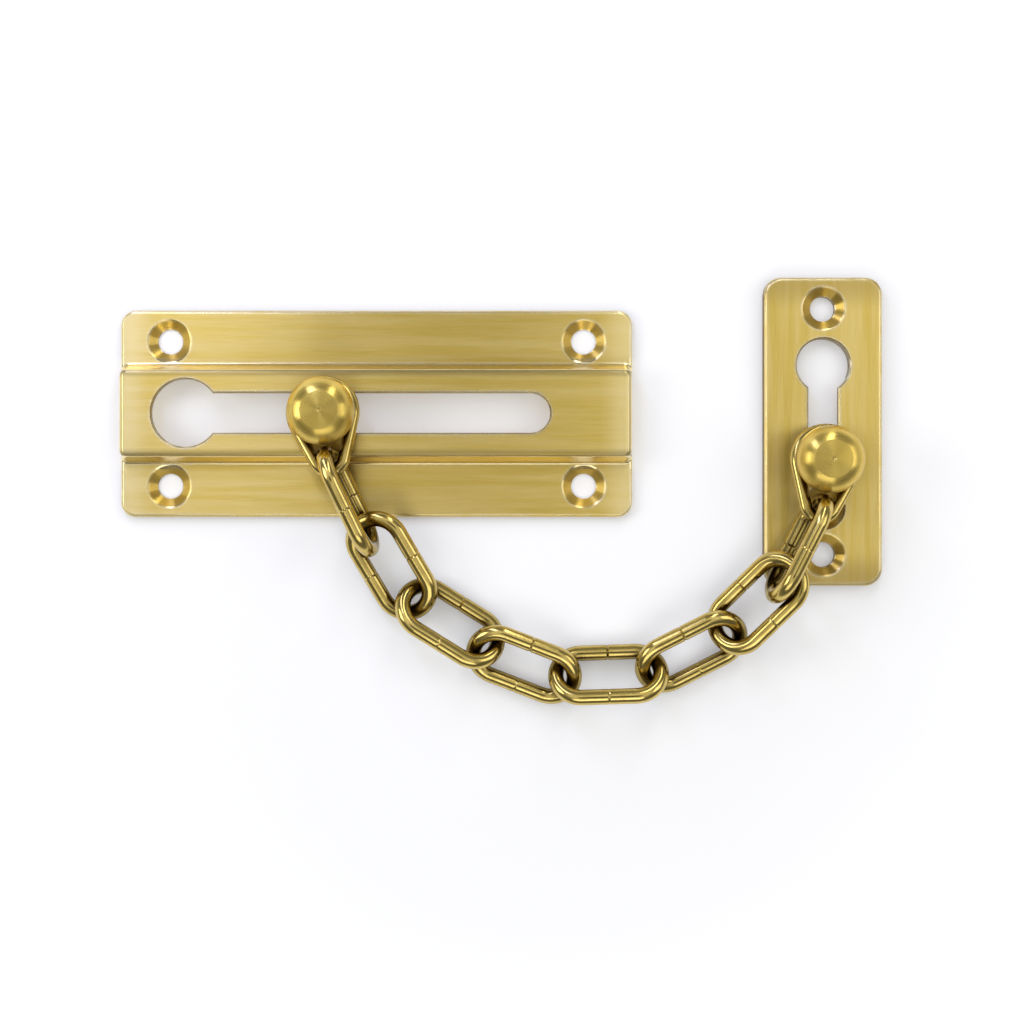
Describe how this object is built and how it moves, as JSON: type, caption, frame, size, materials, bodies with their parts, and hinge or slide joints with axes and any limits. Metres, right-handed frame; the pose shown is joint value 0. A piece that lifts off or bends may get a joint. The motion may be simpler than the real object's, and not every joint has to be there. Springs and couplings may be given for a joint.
{
  "type": "door chain",
  "caption": "Brass door chain: a slotted track plate with a sliding domed stud, a chain of oval wire links, and a smaller keyhole plate with its own stud.",
  "frame": {"origin": "centre of the track plate's four screw holes, on its back face", "axes": "+Z out of the door face, through the plates' fronts; +X along the track plate, towards the keep plate; the whole part lies flat as pictured"},
  "size_m": [0.1561, 0.0874, 0.0182],
  "materials": {
    "plate_brass": "satin, brushed along the plate",
    "turned_brass": "satin, turned",
    "wire_brass": "polished"
  },
  "bodies": {
    "track_plate": {"track_plate": "plate_brass"},
    "slider_stud": {"slider_stud": "turned_brass"},
    "slider_end_link": {"slider_end_link": "wire_brass"},
    "chain_link_1": {"chain_link_1": "wire_brass"},
    "chain_link_2": {"chain_link_2": "wire_brass"},
    "chain_link_3": {"chain_link_3": "wire_brass"},
    "chain_link_4": {"chain_link_4": "wire_brass"},
    "chain_link_5": {"chain_link_5": "wire_brass"},
    "chain_link_6": {"chain_link_6": "wire_brass"},
    "chain_link_7": {"chain_link_7": "wire_brass"},
    "chain_link_8": {"chain_link_8": "wire_brass"},
    "keep_end_link": {"keep_end_link": "wire_brass"},
    "keep_stud": {"keep_stud": "turned_brass"},
    "keep_plate": {"keep_plate": "plate_brass"}
  },
  "joints": [
    {"name": "slider_in_track", "type": "slide", "parent": "track_plate", "child": "slider_stud", "axis": [1, 0, 0], "range_m": [-0.0266, 0.0419]},
    {"name": "end_link_on_slider", "type": "hinge", "parent": "slider_stud", "child": "slider_end_link", "pos_m": [-0.0104, 0, 0.0088], "axis": [0, 0, 1], "range_deg": [-31, 4]},
    {"name": "link_1_lift", "type": "hinge", "parent": "slider_end_link", "child": "chain_link_1", "pos_m": [-0.00737, -0.01314, 0.01144], "axis": [0.909, 0.3808, 0.1692], "range_deg": [-75, 0]},
    {"name": "link_2_swing", "type": "hinge", "parent": "chain_link_1", "child": "chain_link_2", "pos_m": [0.00059, -0.02641, 0.00685], "axis": [-0.2293, -0.3196, 0.9194], "range_deg": [-75, 75]},
    {"name": "link_3_swing", "type": "hinge", "parent": "chain_link_2", "child": "chain_link_3", "pos_m": [0.01054, -0.03989, 0.00499], "axis": [-0.2983, -0.4209, -0.8566], "range_deg": [-50, 75]},
    {"name": "link_4_swing", "type": "hinge", "parent": "chain_link_3", "child": "chain_link_4", "pos_m": [0.02507, -0.04933, 0.0043], "axis": [-0.1682, -0.4383, 0.8829], "range_deg": [-75, 55]},
    {"name": "link_5_swing", "type": "hinge", "parent": "chain_link_4", "child": "chain_link_5", "pos_m": [0.04191, -0.05339, 0.00511], "axis": [0.0486, -0.5722, -0.8187], "range_deg": [-36, 75]},
    {"name": "link_6_swing", "type": "hinge", "parent": "chain_link_5", "child": "chain_link_6", "pos_m": [0.0594, -0.0511, 0.00471], "axis": [0.2212, -0.4986, 0.8382], "range_deg": [-75, 60]},
    {"name": "link_7_swing", "type": "hinge", "parent": "chain_link_6", "child": "chain_link_7", "pos_m": [0.07379, -0.04244, 0.00647], "axis": [0.4461, -0.1236, -0.8864], "range_deg": [-75, 75]},
    {"name": "link_8_swing", "type": "hinge", "parent": "chain_link_7", "child": "chain_link_8", "pos_m": [0.08121, -0.03476, 0.00913], "axis": [-0.4461, 0.1236, 0.8864], "range_deg": [-75, 10]},
    {"name": "end_link_on_link_8", "type": "hinge", "parent": "chain_link_8", "child": "keep_end_link", "pos_m": [0.0879, -0.0225, 0.01021], "axis": [0.8747, -0.4525, -0.1735], "range_deg": [-3, 75]},
    {"name": "keep_stud_swivel", "type": "hinge", "parent": "keep_end_link", "child": "keep_stud", "pos_m": [0.0915, -0.0096, 0.0076], "axis": [0, 0, 1], "range_deg": [-75, 55]},
    {"name": "keep_plate_slide", "type": "slide", "parent": "keep_stud", "child": "keep_plate", "axis": [0, 1, 0], "range_m": [-0.0186, 0]}
  ]
}
